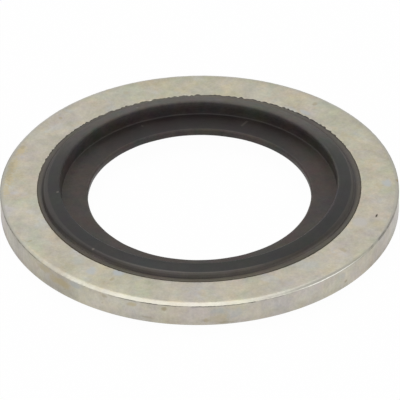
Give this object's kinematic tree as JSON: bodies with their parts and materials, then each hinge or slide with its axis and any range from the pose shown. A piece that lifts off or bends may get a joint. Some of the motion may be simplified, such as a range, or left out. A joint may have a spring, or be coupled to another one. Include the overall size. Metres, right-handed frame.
{
  "type": "bonded sealing washer",
  "caption": "Self-centring bonded sealing washer: flat steel ring with a moulded rubber seal in its bore, a lip on each face and a thin inner web that grips the thread.",
  "frame": {"origin": "on the axis of the hole, half way through the thickness", "axes": "+Z along the axis of the hole, square to the steel ring's upper face; X and Y are equal, because the washer is round"},
  "size_m": [0.024, 0.024, 0.0024],
  "materials": {
    "steel_ring": "zinc plated and passivated, dull, lightly stained",
    "rubber_seal": "moulded nitrile rubber, matt, slightly dusty"
  },
  "bodies": {
    "root": {"steel_ring": "steel_ring", "rubber_seal": "rubber_seal"}
  },
  "joints": []
}
